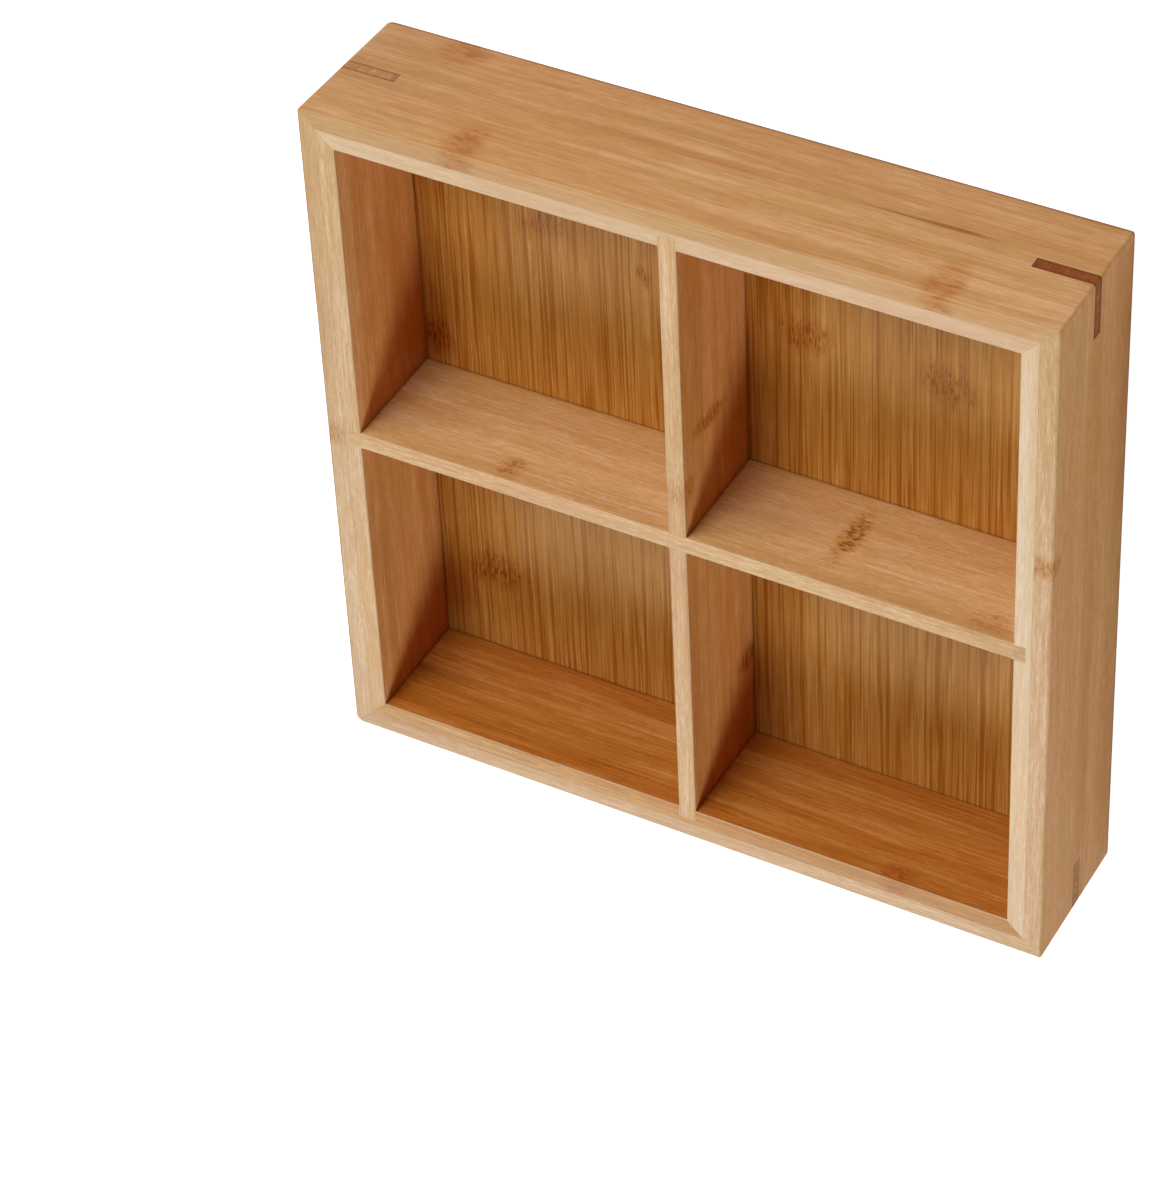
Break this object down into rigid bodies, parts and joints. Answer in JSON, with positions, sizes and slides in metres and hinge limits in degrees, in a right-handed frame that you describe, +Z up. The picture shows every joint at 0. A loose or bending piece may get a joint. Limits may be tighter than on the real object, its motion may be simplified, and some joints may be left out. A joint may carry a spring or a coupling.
{
  "type": "drawer organizer",
  "caption": "Square bamboo drawer organizer: a mitred, keyed frame round a grooved-in floor, split into equal open compartments by halved dividers.",
  "frame": {"origin": "middle of the tray's footprint, on the surface that the tray stands on", "axes": "+Z up out of the compartments, +X to the right and +Y to the rear; the cross divider runs along X over the long divider, which runs along Y; the dark key is at the rear right corner"},
  "size_m": [0.25, 0.25, 0.052],
  "materials": {
    "outer_board": "tan carbonised bamboo, satin clear lacquer, fine straight grain with nodes",
    "inner_board": "paler bamboo, satin clear lacquer, fine straight grain",
    "floor_panel": "golden brown bamboo of narrow strips on edge, satin clear lacquer",
    "divider": "pinkish tan bamboo with cream edges, satin clear lacquer",
    "corner_key": "tan bamboo between dark glue lines, satin clear lacquer",
    "dark_key": "dark reddish brown bamboo, satin clear lacquer"
  },
  "bodies": {
    "root": {"rear_wall_outer_board": "outer_board", "front_wall_outer_board": "outer_board", "left_wall_outer_board": "outer_board", "right_wall_outer_board": "outer_board", "rear_wall_inner_board": "inner_board", "front_wall_inner_board": "inner_board", "left_wall_inner_board": "inner_board", "right_wall_inner_board": "inner_board", "floor_panel": "floor_panel", "cross_divider": "divider", "long_divider": "divider", "rear_right_key": "dark_key", "rear_left_key": "corner_key", "front_left_key": "corner_key", "front_right_key": "corner_key"}
  },
  "joints": []
}
